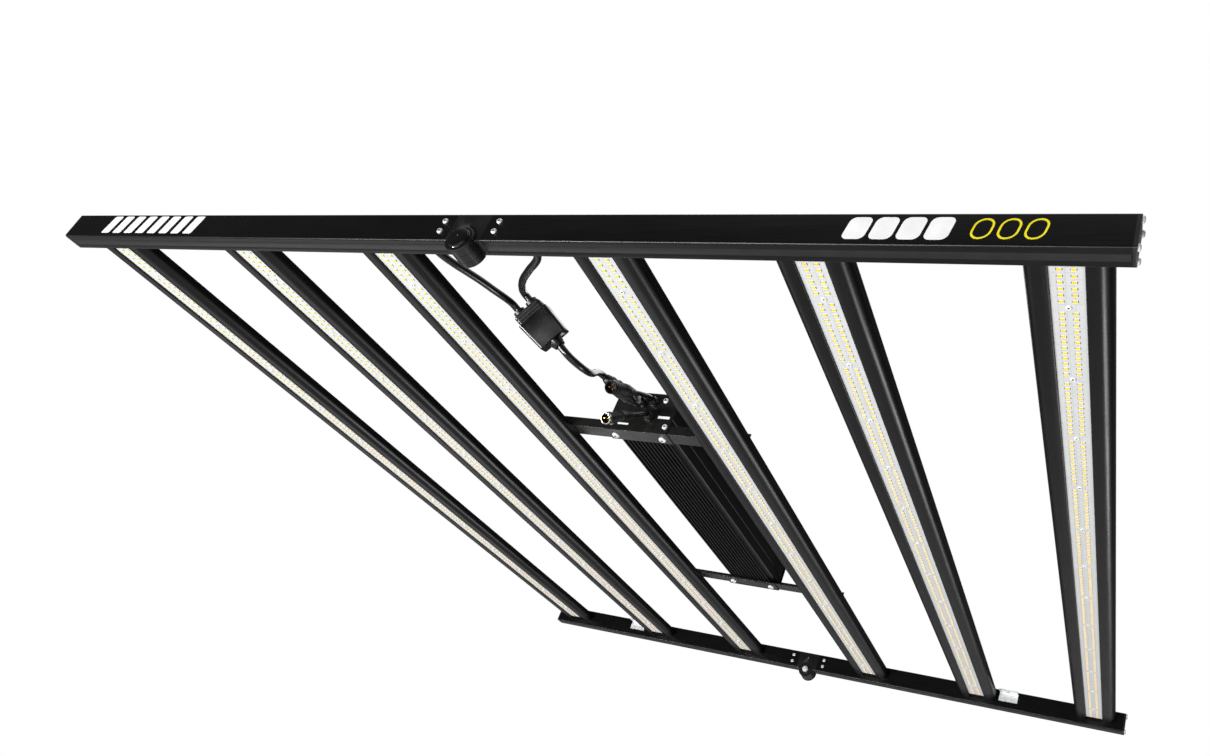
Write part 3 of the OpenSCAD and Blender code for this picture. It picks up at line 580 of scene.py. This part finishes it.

# %% [markdown]
# ## Lengths of the leads
#
# A lead's length is that of its own curve at rest. Each lead is listed with what it ends in and
# the pieces that hang on it; the loop only takes up each lead's piece, path and diameter, and
# turns the mains tail's route round, as that tail is told from the gland outwards.

for name, far_end, pieces in (("feed_lead_left", "object", [splitter_lid]),
                              ("feed_lead_right", "object", [splitter_lid]),
                              ("splitter_lead", "object", [splitter_box, output_joint]),
                              ("output_pigtail", "object", []),
                              ("mains_pigtail", "connector", [mains_inlet])):
    piece, path, diameter = cord_paths[name]
    if name == "mains_pigtail":
        path = path[::-1]

# %% [markdown]
# ## Rails, bars and driver
#
# These are the exact parts. Their sections are already right, so they only get smooth shading
# over the round corners, slightly rounded long edges and their finishes.

# %% Extrusions
for side in ("near", "far"):
    for hand in ("right", "left"):
        dress(f"rail_{side}_{hand}", rail_black, 0.25, 30)
        dress(f"hinge_block_{side}_{hand}", powder_coat, 0.4, 6)
for k in range(1, 7):
    dress(f"led_bar_{k}", bar_black, 0.2, 100)
dress("driver_case", case_black, 0.2, 100)

# %% [markdown]
# The driver's two end plates and its brackets are bent from sheet. The outside of their bend is
# rounded first, nearly as wide as the sheet is thick. The small parts only need their edges taken
# off.

# %% Plates, brackets and small parts
PLATE_Y, FLANGE_Z, PLATE_BEND = 225, -9.2, 1.4
LEG_Y, LEG_Z, LEG_BEND = 223.5, -7.7, 1.8
for node, y, z, radius in (("driver_front_plate", PLATE_Y, FLANGE_Z, PLATE_BEND),
                           ("driver_rear_plate", PLATE_Y, FLANGE_Z, PLATE_BEND),
                           ("driver_brackets", LEG_Y, LEG_Z, LEG_BEND)):
    sheet = fold(copied(node, 0.25, 8), y, z, radius)
    make(node + "_finished", sheet, body_of(node), [powder_coat], [node])
for hand in ("right", "left"):
    dress("rail_covers_" + hand, nylon, 0.15, 30)
    dress("end_caps_" + hand, nylon, 0.5, 2.5)
    dress("hanging_brackets_" + hand, zinc, 0.3, 8)
dress("cable_glands", nylon, 0.3, 3)
dress("pivot_nuts", zinc, 0.3, 3)
dress("pivot_bolts", zinc)
dress("bracket_pads", pad_rubber, 0.2, 4)

# %% [markdown]
# ## Screws
#
# Every screw in view, apart from those of the boards, is a button head with a socket. One
# profile serves them all: a domed head, and a socket whose floor lies a little under half the
# head's height. A head gives its radius, its height and the socket's radius. The sockets are
# drawn round, because at 2 to 3 mm wide their six sides don't show.

# %% Button heads
def button_head(r, h, key, steps=20):
    """A domed head with its socket, in mm; material 1 is the socket, painted dark as its shadow."""
    floor = 0.45 * h
    profile = [(0, floor), (key, floor), (key, 0.93 * h), (key + 0.12 * r, h), (0.62 * r, 0.97 * h),
               (0.82 * r, 0.8 * h), (0.95 * r, 0.52 * h), (r, 0.25 * h), (0.98 * r, 0.03 * h),
               (0.9 * r, 0), (0, 0)]
    return turned_part(profile, steps,
                       lambda rad, z: 1 if rad < 1.02 * key and floor * 0.9 < z < 0.95 * h else 0)


def heads(name, node, body, places, towards, r, h, key):
    """All heads of one node as one piece; places are in mm."""
    bm = bmesh.new()
    for at, way in zip(places, towards):
        join(bm, button_head(r, h, key), aim(at, way))
    return make(name, bm, body, [zinc, socket_painted_shadow], [node])


HALF, Y_OUT, Y_IN = 567.5, 567.5, 547.5
RAIL_MID_Y, RAIL_MID_Z, PORT_Y, PORT_Z = 557.5, -16, 6.7, 12.7
HINGE_X, HINGE_Z = 30.8, (-9.4, -21.4)
BAR_X = (125, 322, 519)
CASE_Z, FLANGE_X, FLANGE_IN = -5.7, 33, 12
PLATE_SCREWS = ((37.8, 6.6), (25, 43.5))    # X, and height above the brackets
CAP_HEAD, HINGE_HEAD, PLATE_HEAD = (2.75, 2.2, 1.0), (2.9, 1.8, 1.1), (3.6, 2.4, 1.3)
FLANGE_HEAD, BRACKET_HEAD = (4.8, 2.8, 1.6), (4.7, 3, 1.6)
for hand, sign in (("right", 1), ("left", -1)):
    body = hand + "_half"
    corners = [(sign * HALF, side * (RAIL_MID_Y + a * PORT_Y), RAIL_MID_Z + b * PORT_Z)
               for side in (-1, 1) for a in (-1, 1) for b in (-1, 1)]
    heads("end_cap_screw_heads_" + hand, "end_cap_screws_" + hand, body, corners,
          [(sign, 0, 0)] * len(corners), *CAP_HEAD)
    pairs = [((sign * HINGE_X, side * y, z), (0, side * way, 0))
             for side in (-1, 1) for y, way in ((Y_OUT, 1), (Y_IN, -1)) for z in HINGE_Z]
    heads("hinge_screw_heads_" + hand, "hinge_screws_" + hand, body, [p for p, _ in pairs],
          [w for _, w in pairs], *HINGE_HEAD)
plate = [((s * x, side * PLATE_Y, CASE_Z + z), (0, side, 0)) for side in (-1, 1)
         for s in (-1, 1) for x, z in PLATE_SCREWS]
flange = [((s * FLANGE_X, side * (PLATE_Y - FLANGE_IN), FLANGE_Z), (0, 0, -1))
          for side in (-1, 1) for s in (-1, 1)]
bm = bmesh.new()
for at, way in plate:
    join(bm, button_head(*PLATE_HEAD), aim(at, way))
for at, way in flange:
    join(bm, button_head(*FLANGE_HEAD), aim(at, way))
make("driver_screw_heads", bm, "right_half", [zinc, socket_painted_shadow], ["driver_screws"])
heads("bracket_bolt_heads", "bracket_bolts", "right_half",
      [(BAR_X[0], side * (PLATE_Y - FLANGE_IN), CASE_Z) for side in (-1, 1)],
      [(0, 0, 1)] * 2, *BRACKET_HEAD)

# %% [markdown]
# ## Board screws
#
# Twelve screws hold each board. Each has a flat white nylon head, so that it throws no shadow and
# no short over the tracks; its recess is painted dark, a painted shadow. There are 72, so each has
# few faces.

# %% Board screws
BOARD_Z, STEP, SCREWS = -20.7, 13, 12       # STEP is in LED places
for hand, sign in (("right", 1), ("left", -1)):
    bm = bmesh.new()
    for x in BAR_X:
        for k in range(SCREWS):
            head = turned_part([(0, 0.45), (0.85, 0.45), (0.95, 1.0), (1.9, 1.1), (2.35, 0.75),
                                (2.4, 0), (0, 0)], 14,
                               lambda rad, z: 1 if rad < 1.0 and z > 0.3 else 0)
            y = (k - (SCREWS - 1) / 2) * STEP * BOARD_PITCH
            join(bm, head, aim((sign * x, y, BOARD_Z), (0, 0, -1)))
    make("board_screw_heads_" + hand, bm, hand + "_half", [led_cup, socket_painted_shadow],
         ["board_screws_" + hand])

# %% [markdown]
# ## LED boards and LEDs
#
# The boards are the exact parts with the solder mask on. On them stand two rows of LEDs, 144 to
# a row, and each board screw takes the place of one LED. A package is a cup 3.5 by 3 mm with a
# wide round-cornered window of phosphor, and its tinned feet show as a strip at both ends.
# One package is modelled with an inset and a few moves, and copied along its board.

# %% LED packages
ROW_X = 5.15                                # from the middle of the board to a row
LED_W, LED_L, LED_H = 3.5, 3.0, 0.55
FEET_W, FEET_L, FEET_H = LED_W + 1.5, 1.8, 0.12


def led_package():
    """One LED that looks down, centred on its place on the board."""
    bm = bmesh.new()
    bmesh.ops.create_cube(bm, size=1, matrix=Matrix.Translation((0, 0, -LED_H / 2 * MM))
                          @ Matrix.Diagonal((LED_W * MM, LED_L * MM, LED_H * MM, 1)))
    top = next(f for f in bm.faces if f.normal.z < -0.9)
    bmesh.ops.inset_region(bm, faces=[top], thickness=0.15 * MM, depth=0)
    bmesh.ops.bevel(bm, geom=list(top.edges) + list(top.verts), offset=0.3 * MM, segments=1,
                    profile=0.5, affect="VERTICES", material=-1)
    window = max((f for f in bm.faces if f.normal.z < -0.9), key=lambda f: f.calc_area())
    bmesh.ops.inset_region(bm, faces=[window], thickness=0.05 * MM, depth=-0.05 * MM)
    window.material_index = 1
    feet = bmesh.new()
    bmesh.ops.create_cube(feet, size=1, matrix=Matrix.Translation((0, 0, -FEET_H / 2 * MM))
                          @ Matrix.Diagonal((FEET_W * MM, FEET_L * MM, FEET_H * MM, 1)))
    for face in feet.faces:
        face.material_index = 2
    join(bm, feet, Matrix.Identity(4))
    return bm


def led_places():
    """Y of every LED in a row: the places between the screws' own."""
    taken = {STEP // 2 + STEP * k for k in range(SCREWS)}
    places = STEP * SCREWS
    return [(i - (places - 1) / 2) * BOARD_PITCH for i in range(places) if i not in taken]


one = bpy.data.meshes.new("led_package")
template = led_package()
template.to_mesh(one)
print("one LED has", len(one.polygons), "faces;", len(led_places()), "LEDs to a row")
for k, x in enumerate([-b for b in BAR_X[::-1]] + list(BAR_X), 1):
    hand = "left" if x < 0 else "right"
    bm = bmesh.new()
    for row in (-ROW_X, ROW_X):
        for y in led_places():
            fresh = len(bm.verts)
            bm.from_mesh(one)
            bm.verts.ensure_lookup_table()
            bmesh.ops.translate(bm, verts=bm.verts[fresh:],
                                vec=Vector((x + row, y, BOARD_Z)) * MM)
    make(f"leds_{k}", bm, hand + "_half", [led_cup, phosphor, solder])
    board = frame["nodes"][f"led_board_{k}"]
    board.data.materials.clear()
    board.data.materials.append(solder_mask)
template.free()

# %% [markdown]
# ## Tension knobs
#
# A round nut with a flat cap closes each hinge. Turned by hand, it presses the knuckles together
# until the half stays where it is put. The rim lies against the barrel, and the smaller cap on
# it is polished, with a bevelled edge and a dimple in the middle.

# %% Knobs
AXIS_Z, KNOB_GAP = -33, 0.2
for side, sign in (("near", -1), ("far", 1)):
    cap = turned_part([(0, 5.5), (0.9, 5.5), (1.2, 5.95), (1.6, 6.0), (9.7, 6.0), (10.5, 5.6),
                       (10.9, 4.8), (10.9, 4.0), (11.3, 3.5), (13.2, 3.5), (14.1, 3.1),
                       (14.5, 2.3), (14.5, 0.4), (14.1, 0), (0, 0)], 72,
                      lambda rad, z: 1 if z > 3.4 and rad > 1.3 else 0)
    cap.transform(aim((0, sign * (Y_OUT + KNOB_GAP), AXIS_Z), (0, sign, 0)))
    make("tension_knob_" + side, cap, "knob_" + side, [nylon, gloss_cap], ["knob_" + side])

# %% [markdown]
# ## Printed marks
#
# The near rail carries a printed mark at each end, and the driver's front plate has two small
# ones. Plain dashes, blocks and rings stand in their place, in the same white and yellow ink.
# Screen print is 0.05 mm thick.

# %% Printed marks
INK, LEAN = 0.06, 0.2


def dash(bm, x, z, width, height, lean, round_mm, border_mm=0.0, face_y=-Y_OUT):
    """A flat mark on a front face: a leaning rounded block, or its outline."""
    shape = bmesh.new()
    bmesh.ops.create_grid(shape, x_segments=1, y_segments=1, size=0.5)
    bmesh.ops.scale(shape, verts=shape.verts, vec=(width * MM, height * MM, 1))
    bmesh.ops.bevel(shape, geom=list(shape.verts), offset=round_mm * MM, segments=5,
                    profile=0.5, affect="VERTICES", material=-1, clamp_overlap=True)
    if border_mm:
        ring = bmesh.ops.inset_region(shape, faces=list(shape.faces), use_boundary=True,
                                      thickness=border_mm * MM)
        centre = [f for f in shape.faces if f not in ring["faces"]]
        bmesh.ops.delete(shape, geom=centre, context="FACES")
    bmesh.ops.recalc_face_normals(shape, faces=shape.faces)
    if shape.faces[:][0].normal.z < 0:
        bmesh.ops.reverse_faces(shape, faces=shape.faces)
    for v in shape.verts:
        v.co.x += lean * v.co.y
    thick = bmesh.ops.extrude_face_region(shape, geom=list(shape.faces))
    up = [v for v in thick["geom"] if isinstance(v, bmesh.types.BMVert)]
    bmesh.ops.translate(shape, verts=up, vec=(0, 0, INK * MM))
    bmesh.ops.recalc_face_normals(shape, faces=shape.faces)
    join(bm, shape, Matrix.Translation(Vector((x, face_y, z)) * MM)
         @ Matrix.Rotation(math.pi / 2, 4, "X"))


white_left, white_right, yellow = bmesh.new(), bmesh.new(), bmesh.new()
driver_mark = bmesh.new()
for i in range(8):
    dash(white_left, x=-500 + i * 19, z=-15, width=13, height=24, lean=LEAN, round_mm=2)
for i in range(4):
    dash(white_right, x=368 + i * 21, z=-15.5, width=18, height=22, lean=LEAN, round_mm=5)
for i in range(3):
    dash(yellow, x=462 + i * 19, z=-15.5, width=15, height=20, lean=LEAN, round_mm=7.4,
         border_mm=1.6)
for x, z, width, height in ((31, 14, 16, 3.6), (-21, 0.5, 15, 2.4)):
    dash(driver_mark, x, z, width, height, lean=0, round_mm=0.6, face_y=-PLATE_Y)
make("printed_mark_driver", driver_mark, "right_half", [print_white])
make("printed_mark_left", white_left, "left_half", [print_white])
make("printed_mark_right", white_right, "right_half", [print_white])
make("printed_mark_yellow", yellow, "right_half", [print_yellow])

# %% [markdown]
# ## Parts inside
#
# The wiring in the rails and the driver's circuit can't be seen while the light is whole. They
# keep their exact shapes and get their finishes too, for anyone who opens it.

# %% Inner parts
for node, material in (("harness_right", lead_sheath), ("harness_left", lead_sheath),
                       ("driver_circuit", board_green), ("bar_screws_right", zinc),
                       ("bar_screws_left", zinc)):
    frame["nodes"][node].data.materials.clear()
    frame["nodes"][node].data.materials.append(material)

# %% [markdown]
# ## Floor and light
#
# The light hangs in a white studio. The floor is pale and far below, so that no view from under
# the light has it in between. Black metal shows only what it reflects, so to reflections the
# room's walls are nearly dark, though the backdrop looks white, and only the ceiling is bright.
# It lights the floor and the tops. A long narrow box low in front draws bright lines along the
# rounded edges. Wider ones stand low at the back, so that the undersides and the bars' rounded
# wings catch them.

# %% Studio
FLOOR_HALF, FLOOR_Z = 12, -2.6              # in metres
floor_finish, tree, shader = blank("pale_studio_floor")
dust = grain(tree, 120)
set_up(tree, shader, Base_Color=tint(tree, dust, "#e9e9e7", "#efefed"),
       Roughness=spread(tree, dust, 0.7, 0.8))
bm = bmesh.new()
bmesh.ops.create_grid(bm, x_segments=1, y_segments=1, size=FLOOR_HALF,
                      matrix=Matrix.Translation((0, 0, FLOOR_Z)))
mesh = bpy.data.meshes.new("floor")
bm.to_mesh(mesh)
bm.free()
mesh.materials.append(floor_finish)
floor = bpy.data.objects.new("floor", mesh)
bpy.context.scene.collection.objects.link(floor)

world = bpy.data.worlds.new("studio")
world.use_nodes = True
bpy.context.scene.world = world
tree = world.node_tree
tree.nodes.clear()
seen = add(tree, "Background", {"Color": linear("#ffffff"), "Strength": 1.0})
way = add(tree, "TexCoord").outputs["Generated"]
upward = add(tree, "SeparateXYZ", {"Vector": way}).outputs["Z"]
glow = spread(tree, upward, 0.07, 1.0, 0.62, 0.92)      # from the walls to the ceiling
felt = add(tree, "Background", {"Color": linear("#f6f7f8"), "Strength": glow})
eye = add(tree, "LightPath")
both = add(tree, "MixShader", {0: eye.outputs["Is Camera Ray"], 1: felt.outputs[0],
                               2: seen.outputs[0]})
add(tree, "OutputWorld", {"Surface": both.outputs[0]})


def soft_box(name, at, aimed_at, size, watts):
    """A rectangular light; places and sizes are in metres."""
    data = bpy.data.lights.new(name, "AREA")
    data.shape, data.size, data.size_y, data.energy = "RECTANGLE", *size, watts
    light = bpy.data.objects.new(name, data)
    bpy.context.scene.collection.objects.link(light)
    light.matrix_world = (Matrix.Translation(at) @ (Vector(at) - Vector(aimed_at))
                          .to_track_quat("Z", "Y").to_matrix().to_4x4())


soft_box("low_right", (1.8, -1.2, -2.0), (0, 0, 0), (1.6, 1.6), 6)
soft_box("low_back_left", (-2.0, 1.2, -1.4), (-0.2, -0.4, 0), (1.8, 0.9), 3)
soft_box("low_back_right", (1.5, 1.9, -1.5), (0.2, 0, 0), (0.6, 1.2), 24)
soft_box("front_strip", (-0.9, -1.9, -1.6), (0, -0.3, 0), (2.4, 0.16), 100)
soft_box("high_back", (-0.8, 1.8, 1.9), (0, 0, 0), (2.0, 1.2), 12)
bpy.context.scene.view_settings.view_transform = "Standard"
